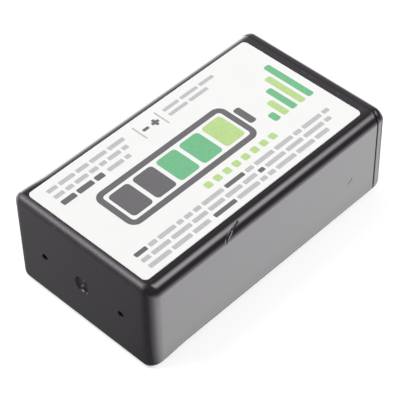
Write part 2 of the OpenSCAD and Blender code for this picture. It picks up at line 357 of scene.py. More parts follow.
def case_surface():
    """Closed outside of the case, rounded on every edge, with the gouge in its front edge."""
    bm = bmesh.new()
    stations = plan_stations()
    fillet = spread(0, math.pi / 2, FILLET_STEPS + 1)
    gouged = math.radians(90 - GOUGE_PATH[0][1] + GOUGE_MARGIN_DEGREES)
    edge_angles = spread(0, gouged, GOUGED_EDGE_ROWS) + spread(gouged, math.pi / 2, PLAIN_EDGE_ROWS)[1:]
    rows = [("bottom", angle) for angle in reversed(fillet)]
    rows += [("side", share) for share in SIDE_SHARES + spread(*GOUGED_SIDE_SHARES)]
    rows += [("top", angle) for angle in edge_angles]
    rings = []
    for kind, value in rows:
        ring = []
        for x, y, angle in stations:
            normal = Vector((math.cos(angle), math.sin(angle)))
            top_r = edge_radius(SIDE_EDGE_R, x, y, normal)
            bottom_r = edge_radius(BOTTOM_SIDE_EDGE_R, x, y, normal)
            inset, tilt = 0.0, 0.0
            if kind == "side":
                z = bottom_r + value * (CASE_T - top_r - bottom_r)
            elif kind == "top":
                inset, tilt = top_r * (1 - math.cos(value)), value
                z = CASE_T - top_r * (1 - math.sin(value))
            else:
                inset = bottom_r * (1 - math.cos(value))
                z = bottom_r * (1 - math.sin(value))
            point = Vector((x - normal.x * inset, y - normal.y * inset, z))
            if normal.y < -STRAIGHT_SIDE and GOUGE_RANGE[0] < x < GOUGE_RANGE[1] and kind != "bottom":
                outward = Vector((normal.x * math.cos(tilt), normal.y * math.cos(tilt), math.sin(tilt)))
                over_edge = SIDE_EDGE_R * (math.pi / 2 - value) if kind == "top" else (
                    SIDE_EDGE_R * math.pi / 2 + CASE_T - SIDE_EDGE_R - z)
                point += outward * gouge_offset(x, over_edge)
            ring.append(point)
        rings.append(ring)
    bridge(bm, rings)
    return bm


def seam_depth(normal_y):
    """Depth of the seam's slot where the surface faces sideways by normal_y."""
    return SEAM_FACE_DEPTH + (SEAM_SIDE_DEPTH - SEAM_FACE_DEPTH) * normal_y ** 2


def cut_housing(bm):
    """Cuts the case off at the seam and closes the cut."""
    geometry = bm.verts[:] + bm.edges[:] + bm.faces[:]
    bmesh.ops.bisect_plane(
        bm, geom=geometry, plane_co=(SEAM_X, 0, 0), plane_no=(1, 0, 0), clear_outer=True)
    bmesh.ops.contextual_create(bm, geom=[edge for edge in bm.edges if edge.is_boundary])


def cap_ring(seam=0.0, turn=0.0):
    """Outline of the cap as (x, y, z): on the seam's flank, 1 to 0, or at a turn round the end edge."""
    ring = []
    corners = [
        (1, 1, SIDE_EDGE_R), (-1, 1, SIDE_EDGE_R), (-1, -1, BOTTOM_SIDE_EDGE_R), (1, -1, BOTTOM_SIDE_EDGE_R),
    ]
    for quarter, (sign_y, sign_z, radius) in enumerate(corners):
        centre_y, centre_z = sign_y * (HALF_W - radius), MID_Z + sign_z * (CASE_T / 2 - radius)
        for angle in spread(quarter * math.pi / 2, (quarter + 1) * math.pi / 2, CAP_CORNER_STEPS + 1):
            ny, nz = math.cos(angle), math.sin(angle)
            edge_r = CAP_EDGE_R + (CAP_TOP_EDGE_R - CAP_EDGE_R) * nz ** 2
            drop = edge_r + CAP_CORNER_DROP * (2 * ny * nz) ** 2
            if turn:
                x = OPEN_X - drop * (1 - math.sin(turn))
                reach = radius - drop * (1 - math.cos(turn))
            else:
                x = SEAM_X + SEAM_W - SEAM_FLANK * seam
                reach = radius - seam_depth(ny) * seam
            ring.append((x, centre_y + ny * reach, centre_z + nz * reach))
    return ring


def cap_surface():
    """Closed outside of the cap: the case's outline, the seam's slot and the round end edge."""
    slot_start = [(SEAM_X, y, z) for _, y, z in cap_ring(seam=1.0)]
    rings = [slot_start] + [cap_ring(seam=seam) for seam in SEAM_FLANK_SHARES]
    rings += [cap_ring(turn=turn) for turn in spread(FIRST_TURN, math.pi / 2, FILLET_STEPS)]
    bm = bmesh.new()
    bridge(bm, rings)
    return bm


def gate_cutter():
    """Tool for the moulding gate: a round dimple with a pit and two sheared burrs."""
    rim = GATE_D / 2
    radii = spread(rim + GATE_FLARE, rim, 8) + spread(rim, GATE_MIDDLE_R, 30)[1:]
    circle = [(math.cos(turn), math.sin(turn)) for turn in spread(0, 2 * math.pi, GATE_STEPS + 1)[:-1]]
    outer = radii[0]
    rings = [[(CLOSED_X - TOOL_REACH, outer * cy, END_MARKS_Z + outer * cz) for cy, cz in circle]]
    for radius in radii:
        ring = []
        for cy, cz in circle:
            y, z = radius * cy, radius * cz
            ring.append((CLOSED_X + gate_depth(radius, y, z), y, END_MARKS_Z + z))
        rings.append(ring)
    bm = bmesh.new()
    bridge(bm, rings)
    return bm


def gate_depth(radius, y, z):
    """Depth of the gate's dimple at a place from its middle. Outside the rim the tool stands clear."""
    rim = GATE_D / 2
    if radius > rim:
        return -0.05 - 0.3 * smoothstep((radius - rim) / GATE_FLARE) if radius > rim + 0.01 else -0.02
    wall_share = smoothstep((rim - radius) / GATE_WALL)
    depth = GATE_DEPTH
    for pit_y, pit_z, pit_r, pit_depth in GATE_PITS:
        away = math.hypot(y - pit_y, z - pit_z) / pit_r
        depth += pit_depth * (1 - smoothstep((away - PIT_FLOOR_SHARE) / PIT_WALL_SHARE))
    for y0, z0, y1, z1, half, height in GATE_BURRS:
        dy, dz = y1 - y0, z1 - z0
        share = min(max(((y - y0) * dy + (z - z0) * dz) / (dy * dy + dz * dz), 0.0), 1.0)
        away = math.hypot(y - y0 - share * dy, z - z0 - share * dz) / half
        depth -= height * max(0.0, 1 - away)
    depth += GATE_RIPPLE * math.sin(5.1 * y + 1.0) * math.cos(6.3 * z)
    return max(depth, GATE_LEAST_DEPTH) * wall_share


def vent_cutter(y):
    """Tool for a vent: a straight hole with a soft flared mouth."""
    radius = VENT_D / 2
    profile = [(CLOSED_X - VENT_TOOL_OUT, radius + VENT_FLARE)]
    for angle in spread(0, math.pi / 2, 9):
        profile.append((
            CLOSED_X + VENT_FLARE * (1 - math.cos(angle)) - 0.001,
            radius + VENT_FLARE * (1 - math.sin(angle)),
        ))
    profile.append((CLOSED_X + END_WALL + VENT_TOOL_PAST_WALL, radius))
    return turned_along_x(profile, y, END_MARKS_Z)


def curl_mesh(path):
    """Sliver of torn plastic lying on the front edge along a path."""
    points = []
    for (x0, d0, w0), (x1, d1, w1) in zip(path, path[1:]):
        for share in spread(0, 1, CURL_STEPS + 1)[:-1]:
            points.append((x0 + share * (x1 - x0), d0 + share * (d1 - d0), w0 + share * (w1 - w0)))
    points.append(path[-1])
    places, normals = [], []
    for x, degrees, _ in points:
        angle = math.radians(degrees)
        normal = Vector((0, -math.sin(angle), math.cos(angle)))
        centre = Vector((x, SIDE_EDGE_R - HALF_W, CASE_T - SIDE_EDGE_R))
        places.append(centre + normal * (SIDE_EDGE_R - CURL_SINK))
        normals.append(normal)
    rings = []
    for i, (_, _, half) in enumerate(points):
        along = (places[min(i + 1, len(places) - 1)] - places[max(i - 1, 0)]).normalized()
        across = normals[i].cross(along).normalized()
        ring = []
        for turn in spread(0, 2 * math.pi, CURL_SIDES + 1)[:-1]:
            sideways, upwards = half * math.cos(turn), half * CURL_HEIGHT * math.sin(turn)
            ring.append(places[i] + across * sideways + normals[i] * upwards)
        rings.append(ring)
    bm = bmesh.new()
    bridge(bm, rings)
    return bm


def make_curls(material):
    """Curls of torn plastic beside the gouge."""
    for name, path in GOUGE_CURLS.items():
        piece = new_object(name, curl_mesh(path))
        smooth_shade(piece)
        dress(piece, material)


def make_housing():
    """Moulded case: open at the terminal end, with two vents and the gate's mark in its closed end."""
    bm = case_surface()
    cut_housing(bm)
    piece = new_object("case_shell", bm)
    cavity = block_along_x(
        CLOSED_X + END_WALL, SEAM_X + TOOL_REACH, CAVITY_HALF_W, CAVITY_HALF_T, CAVITY_R)
    combine(piece, cavity)
    for side in (-1, 1):
        combine(piece, vent_cutter(side * VENT_OFFSET))
    combine(piece, gate_cutter())
    smooth_shade(piece)
    return piece


def make_cap():
    """Cap at the terminal end, with its rim, plug, skirt, two round seats and the rivet holes."""
    piece = new_object("terminal_cap", cap_surface())
    plug_w, plug_t = CAVITY_HALF_W - SKIRT_GAP, CAVITY_HALF_T - SKIRT_GAP
    plug = block_along_x(SKIRT_X, SEAM_X + PLUG_OVERLAP, plug_w, plug_t, CAVITY_R - SKIRT_GAP)
    combine(piece, plug, "UNION")
    hollow_ends = (SKIRT_X - TOOL_REACH, SEAM_X - PLUG_DEPTH)
    inner_w = plug_w - SKIRT_T
    hollow = block_along_x(*hollow_ends, inner_w, plug_t - SKIRT_T, HOLLOW_R)
    combine(piece, hollow)
    notch = bmesh.new()
    low_y, high_y = inner_w - NOTCH_REACH, plug_w + NOTCH_REACH
    outline = [(low_y, -NOTCH_W / 2), (high_y, -NOTCH_W / 2), (high_y, NOTCH_W / 2), (low_y, NOTCH_W / 2)]
    bridge(notch, [[(x, y, MID_Z + z) for y, z in outline] for x in hollow_ends])
    combine(piece, notch)
    seat_r = STUD_FLANGE_D / 2 + SEAT_GAP
    mouth_r = seat_r + SEAT_CHAMFER
    seat = [
        (SEAT_X, seat_r), (OPEN_X - SEAT_CHAMFER, seat_r), (OPEN_X, mouth_r), (OPEN_X + TOOL_REACH, mouth_r),
    ]
    hole = [(SKIRT_X - TOOL_REACH, SHANK_HOLE_D / 2), (OPEN_X + TOOL_REACH, SHANK_HOLE_D / 2)]
    for y in (POSITIVE_Y, NEGATIVE_Y):
        combine(piece, turned_along_x(seat, y, MID_Z, 96))
        combine(piece, turned_along_x(hole, y, MID_Z))
    smooth_shade(piece)
    return piece


class Nodes:
    """Short calls that add nodes to the tree of a material or of the world."""

    def __init__(self, tree):
        self.tree = tree
        tree.nodes.clear()

    def feed(self, socket, value):
        """Links a socket to another one, or sets its value."""
        if isinstance(value, bpy.types.NodeSocket):
            self.tree.links.new(value, socket)
        else:
            socket.default_value = value

    def put(self, kind, inputs=None, **settings):
        """Adds a node, with what feeds its sockets and its settings."""
        node = self.tree.nodes.new(kind)
        for key, value in settings.items():
            setattr(node, key, value)
        for key, value in (inputs or {}).items():
            self.feed(node.inputs[key], value)
        return node

    def math(self, operation, a, b=0.0):
        return self.put("ShaderNodeMath", {0: a, 1: b}, operation=operation).outputs[0]

    def step(self, value, low, high, to_low=0.0, to_high=1.0):
        """Smooth change from one value to another between two places."""
        return self.put("ShaderNodeMapRange", {
            "Value": value, "From Min": low, "From Max": high, "To Min": to_low, "To Max": to_high,
        }, interpolation_type="SMOOTHSTEP").outputs[0]

    def vector(self, operation, a, b):
        """The node of a vector operation, whose outputs are 0 and Value."""
        return self.put("ShaderNodeVectorMath", {0: a, 1: b}, operation=operation)

    def place_mm(self):
        """Place on the object in millimetres."""
        coordinates = self.put("ShaderNodeTexCoord").outputs["Object"]
        return self.vector("MULTIPLY", coordinates, (1 / MM,) * 3).outputs[0]


class Finish(Nodes):
    """A procedural material of a piece."""

    def __init__(self, name):
        self.material = bpy.data.materials.new(name)
        self.material.use_nodes = True
        super().__init__(self.material.node_tree)
        output = self.put("ShaderNodeOutputMaterial")
        self.shader = self.put("ShaderNodeBsdfPrincipled")
        self.tree.links.new(self.shader.outputs[0], output.inputs["Surface"])
        self.place = self.place_mm()
        self.x, self.y, self.z = self.put("ShaderNodeSeparateXYZ", {0: self.place}).outputs

    def set(self, **inputs):
        """Sets the shader's sockets, with underscores for the blanks in their names."""
        for key, value in inputs.items():
            self.feed(self.shader.inputs[key.replace("_", " ")], value)

    def stretched(self, scale, turn=(0.0, 0.0, 0.0)):
        """The place scaled and turned, for drawn-out patterns."""
        inputs = {"Vector": self.place, "Scale": scale, "Rotation": turn}
        return self.put("ShaderNodeMapping", inputs).outputs[0]

    def noise(self, scale, detail=2.0, rough=0.5, place=None, warp=0.0):
        return self.put("ShaderNodeTexNoise", {
            "Vector": self.place if place is None else place, "Scale": scale, "Detail": detail,
            "Roughness": rough, "Distortion": warp,
        }).outputs[0]

    def spot(self, middle, radius, soft=0.5):
        """1 inside a round spot, fading to 0 at its edge."""
        away = self.vector("DISTANCE", self.place, middle).outputs["Value"]
        return self.step(away, radius * (1 - soft), radius, 1.0, 0.0)

    def stroke(self, start, end, radius):
        """1 on a short straight scratch between two places, fading to 0 at its edge."""
        line = Vector(end) - Vector(start)
        off = self.vector("SUBTRACT", self.place, start).outputs[0]
        along = self.vector("DOT_PRODUCT", off, tuple(line)).outputs["Value"]
        share = self.put("ShaderNodeMath", {0: along, 1: 1 / line.length_squared},
                         operation="MULTIPLY", use_clamp=True).outputs[0]
        foot = self.put(
            "ShaderNodeVectorMath", {0: tuple(line), "Scale": share}, operation="SCALE").outputs[0]
        away = self.vector("DISTANCE", off, foot).outputs["Value"]
        return self.step(away, radius * 0.3, radius, 1.0, 0.0)

    def mix(self, factor, a, b):
        return self.put("ShaderNodeMix", {"Factor": factor, 6: a, 7: b}, data_type="RGBA").outputs[2]

    def bump(self, height, distance_mm, strength=1.0, normal=None):
        inputs = {"Height": height, "Distance": distance_mm * MM, "Strength": strength}
        if normal is not None:
            inputs["Normal"] = normal
        return self.put("ShaderNodeBump", inputs).outputs[0]


def grey(value, tint=(1.0, 1.0, 1.0)):
    """Grey of a level, slightly tinted."""
    return (value * tint[0], value * tint[1], value * tint[2], 1.0)


def shade(colour, level):
    """A colour made lighter or darker."""
    return tuple(min(1.0, part * level) for part in colour) + (1.0,)


def scratches(finish, density, turn):
    """Fine long scratches, 1 on a scratch and 0 elsewhere."""
    place = finish.stretched((1.0, SCRATCH_STRETCH, SCRATCH_STRETCH), turn)
    lines = finish.noise(0.22, 1.0, 0.4, place)
    narrow = finish.math("ABSOLUTE", finish.math("SUBTRACT", lines, 0.5))
    line = finish.step(narrow, 0.0, 0.006, 1.0, 0.0)
    patches = finish.step(finish.noise(0.16, 2.0), 1 - density, 1 - density + 0.08)
    return finish.math("MULTIPLY", line, patches)


def specks(finish, scale, size, share):
    """Scattered dust specks, 1 on a speck."""
    cells = finish.put("ShaderNodeTexVoronoi", {"Vector": finish.place, "Scale": scale})
    draw = finish.put("ShaderNodeSeparateColor", {0: cells.outputs["Color"]}).outputs[0]
    chosen = finish.step(draw, 1 - share, 1 - share + 0.01)
    near = finish.step(cells.outputs["Distance"], size * 0.4, size, 1.0, 0.0)
    return finish.math("MULTIPLY", chosen, near)


# Tones of the plastic. The matte finish of the closed end fades out towards the front side
PLASTIC_IOR = 1.6
PLASTIC_TINT = (1.06, 0.86, 1.08)
GLOSS_TINT = (1.0, 0.955, 1.0, 1.0)
CASE_BLACK = (0.0105, 0.0155)
END_BLACK = (0.009, 0.025)
CAP_BLACK = (0.0115, 0.017)
TORN_GREY = (0.13, 0.36)
MATTE_EDGE_X = (CLOSED_X + END_EDGE_R - 0.02, CLOSED_X + END_EDGE_R + 0.08)
MATTE_EDGE_Y = (-11.72, -11.55)

# Scratches as (start, end, half width), specks on the closed end as (y, z, radius), smudges as (x, y,
# radius). The last two specks are painted highlights on the vents' upper rims
SIDE_SCRATCH = ((16.31, -13.0, 7.51), (15.5, -13.0, 6.93), 0.13)
END_SCRATCH = ((-22.88, 4.45, 15.45), (-23.0, 4.95, 14.85), 0.1)
END_SPECKS_AND_RIM_HIGHLIGHTS = [
    (1.09, 4.62, 0.17), (-1.91, 8.93, 0.13), (-4.58, 11.63, 0.1), (-5.69, 10.45, 0.1), (-8.86, 5.83, 0.12),
    # Painted highlights: pale spots on the vents' upper rims, standing in for a raised lip that catches the
    # light
    (VENT_OFFSET + 0.82, END_MARKS_Z + 0.1, 0.24), (0.82 - VENT_OFFSET, END_MARKS_Z + 0.1, 0.2),
]
TOP_SMUDGES = [(21.0, 0.42, 0.6), (20.9, -0.89, 0.5), (20.9, -5.99, 0.5), (20.66, -10.38, 0.5)]
SCRATCH_STRETCH = 26.0


def case_plastic():
    """Near-black plastic: matte and grained on the closed end, glossy with faint waves elsewhere, with
    painted highlights on the vents' rims.
    """
    f = Finish("case_plastic")
    end_x = f.step(f.x, *MATTE_EDGE_X, 1.0, 0.0)
    end_y = f.step(f.y, *MATTE_EDGE_Y)
    matte = f.math("MULTIPLY", end_x, end_y)
    mottle = f.noise(0.9, 4.0, 0.6)
    fine = f.noise(7.0, 3.0, 0.6)
    haze = f.step(f.noise(0.3, 3.0, 0.55), 0.42, 0.75)
    rubbed = f.math("MAXIMUM", scratches(f, 0.42, (0.0, 0.0, 0.35)),
                    scratches(f, 0.36, (0.0, 0.6, -0.5)))
    dust_and_rim_highlight = f.math("MAXIMUM", specks(f, 0.9, 0.05, 0.35), specks(f, 0.35, 0.035, 0.5))
    # Dust specks, then the listed specks and the painted highlights on the vents' rims
    for y, z, radius in END_SPECKS_AND_RIM_HIGHLIGHTS:
        dust_and_rim_highlight = f.math("MAXIMUM", dust_and_rim_highlight, f.spot((CLOSED_X, y, z), radius, 0.7))
    smudge = 0.0
    for x, y, radius in TOP_SMUDGES:
        smudge = f.math("MAXIMUM", smudge, f.spot((x, y, CASE_T), radius, 0.95))
    black = f.mix(mottle, *(grey(level, PLASTIC_TINT) for level in CASE_BLACK))
    grains = f.step(f.noise(4.2, 3.0, 0.7), 0.3, 0.7)
    end_black = f.mix(f.math("MULTIPLY", f.math("ADD", fine, grains), 0.5),
                      *(grey(level, PLASTIC_TINT) for level in END_BLACK))
    colour = f.mix(matte, black, end_black)
    colour = f.mix(f.math("MULTIPLY", f.stroke(*END_SCRATCH), 0.6), colour, grey(0.12))
    # Pale grey of the dust specks and of the painted highlights on the vents' rims
    colour = f.mix(f.math("MULTIPLY", dust_and_rim_highlight, 0.5), colour, grey(0.16))
    colour = f.mix(f.math("MULTIPLY", f.math("MULTIPLY", smudge, fine), 0.16), colour, grey(0.2))
    gloss = f.step(mottle, 0.3, 0.7, 0.085, 0.12)
    gloss = f.math("ADD", gloss, f.math("MULTIPLY", haze, 0.035))
    gloss = f.math("ADD", gloss, f.math("MULTIPLY", rubbed, 0.16))
    side_scratch = f.stroke(*SIDE_SCRATCH)
    gloss = f.math("ADD", gloss, f.math("MULTIPLY", side_scratch, 0.45))
    dull = f.step(fine, 0.3, 0.7, 0.4, 0.47)
    sheared = f.spot((CLOSED_X, 0.0, END_MARKS_Z), GATE_D / 2, 0.12)
    dull = f.math("SUBTRACT", dull, f.math("MULTIPLY", sheared, 0.14))
    rough = f.put("ShaderNodeMix", {"Factor": matte, 2: gloss, 3: dull}).outputs[0]
    waves = f.bump(f.noise(0.42, 1.5, 0.4), 0.02, 0.35)
    waves = f.bump(f.noise(3.2, 2.0, 0.6), 0.0022, 0.5, waves)
    scored = f.bump(f.math("MULTIPLY", rubbed, -1.0), 0.004, 0.5, waves)
    scored = f.bump(f.math("MULTIPLY", side_scratch, -1.0), 0.05, 1.0, scored)
    grain_height = f.math("MULTIPLY", f.noise(9.0, 3.0, 0.65), matte)
    f.set(Base_Color=colour, Roughness=rough, Normal=f.bump(grain_height, 0.012, 0.5, scored),
          IOR=PLASTIC_IOR, Specular_Tint=GLOSS_TINT)
    return f.material


def torn_plastic():
    """Plastic of the case whitened where it was torn."""
    f = Finish("torn_plastic")
    tone = f.mix(f.step(f.noise(9.0, 3.0, 0.6), 0.3, 0.7), *(grey(level) for level in TORN_GREY))
    f.set(Base_Color=tone, Roughness=0.45, Normal=f.bump(f.noise(12.0, 2.0), 0.01, 0.5), IOR=PLASTIC_IOR)
    return f.material


def cap_plastic():
    """Near-black plastic of the cap, glossy like the case's sides."""
    f = Finish("cap_plastic")
    mottle = f.noise(0.9, 4.0, 0.6)
    facing = f.step(f.x, OPEN_X - 0.15, OPEN_X - 0.02)
    gloss = f.step(mottle, 0.3, 0.7, 0.09, 0.13)
    dull = f.step(f.noise(7.0, 3.0, 0.6), 0.3, 0.7, 0.34, 0.42)
    rough = f.put("ShaderNodeMix", {"Factor": facing, 2: gloss, 3: dull}).outputs[0]
    waves = f.bump(f.noise(0.42, 1.5, 0.4), 0.02, 0.35)
    grain = f.bump(f.math("MULTIPLY", f.noise(9.0, 3.0, 0.65), facing), 0.012, 0.5, waves)
    tone = f.mix(mottle, *(grey(level, PLASTIC_TINT) for level in CAP_BLACK))
    f.set(Base_Color=tone, Roughness=rough, Normal=grain, IOR=PLASTIC_IOR, Specular_Tint=GLOSS_TINT)
    return f.material


FILM_IOR = 1.45


def label_film():
    """White printed film with a faint stipple and slight yellowing."""
    f = Finish("label_film")
    tone = f.mix(f.noise(0.25, 3.0), grey(0.93, (1.0, 1.0, 0.995)), grey(0.90, (1.0, 1.0, 0.985)))
    rough = f.step(f.noise(1.2, 3.0), 0.3, 0.7, 0.34, 0.42)
    f.set(Base_Color=tone, Roughness=rough, Normal=f.bump(f.noise(5.0, 2.0), 0.003, 0.4), IOR=FILM_IOR)
    return f.material


def ink(name, colour):
    """Printed ink with a slightly uneven coat."""
    f = Finish(name)
    tone = f.mix(f.step(f.noise(3.0, 4.0, 0.65), 0.35, 0.65), shade(colour, 0.96), shade(colour, 1.04))
    f.set(Base_Color=tone, Roughness=f.step(f.noise(1.5, 2.0), 0.3, 0.7, 0.32, 0.42),
          Normal=f.bump(f.noise(6.0, 2.0), 0.003, 0.4), IOR=FILM_IOR)
    return f.material


def plated(name, colour, rough, brushed=(1.0, 1.0, 1.0)):
    """Nickel plate: soft handling marks, faint brushing and a few brighter rubs."""
    f = Finish(name)
    cloud = f.noise(0.7, 4.0, 0.6)
    brush = f.noise(3.0, 3.0, 0.6, f.stretched(brushed))
    tone = f.mix(f.step(cloud, 0.35, 0.7), shade(colour, 0.86), shade(colour, 1.0))
    streaks = f.step(brush, 0.3, 0.7, rough * 0.8, rough * 1.25)
    roughness = f.math("ADD", streaks, f.math("MULTIPLY", cloud, 0.05))
    f.set(Base_Color=tone, Roughness=roughness, Normal=f.bump(brush, 0.006, 0.35), Metallic=1.0)
    return f.material


def soft_sheet(name, colour, rough, scale, depth):
    """Foam, card or film: a mottled colour with a fine surface."""
    f = Finish(name)
    grain = f.noise(scale, 4.0, 0.65)
    tone = f.mix(grain, shade(colour, 0.8), shade(colour, 1.15))
    f.set(Base_Color=tone, Roughness=rough, Normal=f.bump(grain, depth, 0.6))
    return f.material


# Print on the label, in plain shapes. U runs along the case from the label's middle, V across it.
PRINT_LIFT = 0.012
PRINT_SINK = 0.02
LABEL_MIDDLE_X = (label_low.x + label_high.x) / 2
LABEL_TOP = label_high.z
LABEL_CORNER_R = 0.7
LABEL_SOFT_EDGE = 0.03
INKS = {
    "dark_grey": (0.138, 0.133, 0.142), "light_green": (0.50, 0.695, 0.285), "mid_green": (0.175, 0.50, 0.26),
    "pale_grey": (0.53, 0.53, 0.54),
}

# Gauge and signs: bars as (u, u, v, v, corner), rows as (count, start, pitch, width, v, v, corner)
GAUGE_FRAME = (-15.6, 8.6, -3.6, 4.4)
GAUGE_CORNER_R = 1.5
GAUGE_STROKE = 0.95
GAUGE_TIP = (9.0, 10.2, -1.4, 2.2, 0.4)
GAUGE_LEVELS = (5, -14.15, 4.4, 3.7, -2.15, 2.95, 0.6)
RISING_STEPS = (5, 11.6, 1.7, 1.15, -3.6, -1.9, 0.35)
STEP_RISE = 1.75
SQUARES = (8, -4.0, 1.8, 1.15, -5.75, -4.6, 0.3)
DIVIDERS = [(-2.85, -2.6, 6.9, 9.9, 0.1), (1.35, 1.6, 6.9, 9.9, 0.1)]
MINUS = [(-2.1, -1.0, 8.15, 8.65, 0.12)]
PLUS = [(-0.4, 0.9, 8.15, 8.65, 0.12), (0.0, 0.5, 7.75, 8.15, 0.1), (0.0, 0.5, 8.65, 9.05, 0.1)]

# Rows of rules as (start, end, v, height, seed), and the lower ones as (v, seed, end, starts of strong bars)
RULE_START = -18.9
RULE_HEIGHT = 0.72
RULE_GAP = 0.42
RULE_LENGTHS = (0.9, 4.2)
RULE_LEAST_END = 0.8
RULE_CORNER_SHARE = 0.22
STRONG_GAP = 0.5
UPPER_RULES = [
    (RULE_START, -4.5, 9.3, RULE_HEIGHT, 3), (RULE_START, -5.5, 7.9, RULE_HEIGHT, 4),
    (-10.6, -6.5, 6.4, RULE_HEIGHT, 10), (2.6, 12.5, 9.2, 0.6, 5), (2.6, 11.0, 8.0, 0.6, 6),
]
STRONG_RULES = (RULE_START, -11.4, 6.4, 0.95, 11)
LOWER_RULES = [(-7.1, 7, 18.4, (RULE_START, -2.2)), (-8.4, 8, 17.6, (2.9,)), (-9.7, 9, 15.4, (-7.0,))]


def flat_piece(name, outlines, material):
    """Thin raised print: each outline is a list of (u, v) points."""
    bm = bmesh.new()
    for outline in outlines:
        rings = []
        for z in (LABEL_TOP - PRINT_SINK, LABEL_TOP + PRINT_LIFT):
            rings.append([(LABEL_MIDDLE_X + u, v, z) for u, v in outline])
        bridge(bm, rings)
    dress(new_object(name, bm), material)


def bar(u0, u1, v0, v1, radius):
    """Outline of a bar with round corners."""
    outline = rounded_outline((u1 - u0) / 2, (v1 - v0) / 2, radius, 5)
    middle_u, middle_v = (u0 + u1) / 2, (v0 + v1) / 2
    return [(middle_u + u, middle_v + v) for u, v in outline]


def bar_row(count, start, pitch, width, v0, v1, radius, rise=0.0):
    """Evenly spaced bars, each one taller than the last by rise."""
    starts = [start + i * pitch for i in range(count)]
    return [bar(u, u + width, v0, v1 + i * rise, radius) for i, u in enumerate(starts)]


def frame_outline(name, u0, u1, v0, v1, radius, stroke, material):
    """A rounded frame as one thin piece with an open middle."""
    outer = rounded_outline((u1 - u0) / 2, (v1 - v0) / 2, radius, 10)
    inner = rounded_outline((u1 - u0) / 2 - stroke, (v1 - v0) / 2 - stroke, radius - stroke, 10)
    middle_u, middle_v = (u0 + u1) / 2 + LABEL_MIDDLE_X, (v0 + v1) / 2
    low, high = LABEL_TOP - PRINT_SINK, LABEL_TOP + PRINT_LIFT
    bm = bmesh.new()
    rings = []
    for outline, z in ((outer, low), (outer, high), (inner, high), (inner, low), (outer, low)):
        rings.append([(middle_u + u, middle_v + v, z) for u, v in outline])
    bridge(bm, rings, closed_ends=False)
    bmesh.ops.remove_doubles(bm, verts=bm.verts, dist=1e-5)
    dress(new_object(name, bm), material)


def rule_row(u0, u1, v, height, seed):
    """A row of short bars of uneven length."""
    draw = random.Random(seed)
    bars = []
    u = u0
    while u < u1 - RULE_LEAST_END:
        length = min(draw.uniform(*RULE_LENGTHS), u1 - u)
        bars.append(bar(u, u + length, v - height / 2, v + height / 2, height * RULE_CORNER_SHARE))
        u += length + RULE_GAP
    return bars


def print_label():
    """Charge gauge in dark grey and two greens, with quiet grey rules along the label's edges."""
    dark, light_green, mid_green, pale = (ink("ink_" + name, colour) for name, colour in INKS.items())
    frame_outline("print_gauge_frame", *GAUGE_FRAME, GAUGE_CORNER_R, GAUGE_STROKE, dark)
    flat_piece("print_gauge_tip", [bar(*GAUGE_TIP)], dark)
    levels = bar_row(*GAUGE_LEVELS)
    flat_piece("print_gauge_level_dark", levels[:2], dark)
    flat_piece("print_gauge_level_mid", levels[2:4], mid_green)
    flat_piece("print_gauge_level_light", levels[4:], light_green)
    steps = bar_row(*RISING_STEPS, STEP_RISE)
    flat_piece("print_steps_mid", steps[0::2], mid_green)
    flat_piece("print_steps_light", steps[1::2], light_green)
    flat_piece("print_squares_light", bar_row(*SQUARES), light_green)
    upper = [rule for row in UPPER_RULES for rule in rule_row(*row)]
    lower, strong = [], rule_row(*STRONG_RULES)
    for v, seed, last, starts in LOWER_RULES:
        for place in (RULE_START,) + tuple(u for u in starts if u > RULE_START):
            later = [u for u in starts if u > place]
            stop = min(later) - STRONG_GAP if later else last
            row = rule_row(place, stop, v, RULE_HEIGHT, seed + place)
            if place in starts:
                strong.append(row.pop(0))
            lower += row
    flat_piece("print_rules_upper", upper, pale)
    flat_piece("print_rules_lower", lower, pale)
    flat_piece("print_bars_strong", strong, dark)
    flat_piece("print_divider", [bar(*place) for place in DIVIDERS], pale)
    flat_piece("print_minus", [bar(*place) for place in MINUS], dark)
    flat_piece("print_plus", [bar(*place) for place in PLUS], dark)


def make_label():
    """White film with round corners and a soft cut edge."""
    bm = bmesh.new()
    half_u, half_v = (label_high.x - label_low.x) / 2, (label_high.y - label_low.y) / 2
    soft = LABEL_SOFT_EDGE
    profile = [(0.0, label_low.z), (0.0, LABEL_TOP - soft), (soft * 0.3, LABEL_TOP - soft * 0.3),
               (soft, LABEL_TOP)]
    rings = []
    for inset, z in profile:
        outline = rounded_outline(half_u - inset, half_v - inset, LABEL_CORNER_R, 16)
        rings.append([(LABEL_MIDDLE_X + u, v, z) for u, v in outline])
    bridge(bm, rings)
    piece = new_object("label_film", bm)
    smooth_shade(piece)
    return piece


# Raised signs on the cap, each made of strokes given as (half length, half width)
SIGN_HEIGHT = 0.16
SIGN_CHAMFER = 0.06
SIGN_SINK = 0.05
SIGN_CORNER_R = 0.15
SIGN_Z = MID_Z + 5.4
LEVEL_STROKE, UPRIGHT_STROKE = (0.95, 0.25), (0.25, 0.95)
SIGNS = [
    ("mark_plus", POSITIVE_Y, [LEVEL_STROKE, UPRIGHT_STROKE]),
    ("mark_minus", NEGATIVE_Y, [LEVEL_STROKE]),
]


def polarity_marks(material):
    """Small raised plus and minus beside the snaps, moulded on the cap."""
    profile = [(OPEN_X - SIGN_SINK, 0.0), (OPEN_X + SIGN_HEIGHT - SIGN_CHAMFER, 0.0),
               (OPEN_X + SIGN_HEIGHT, SIGN_CHAMFER)]
    for name, y, strokes in SIGNS:
        bm = bmesh.new()
        for half_y, half_z in strokes:
            rings = []
            for x, inset in profile:
                outline = rounded_outline(half_y - inset, half_z - inset, SIGN_CORNER_R, 5)
                rings.append([(x, y + a, SIGN_Z + b) for a, b in outline])
            bridge(bm, rings)
        piece = new_object(name, bm)
        smooth_shade(piece)
        dress(piece, material)


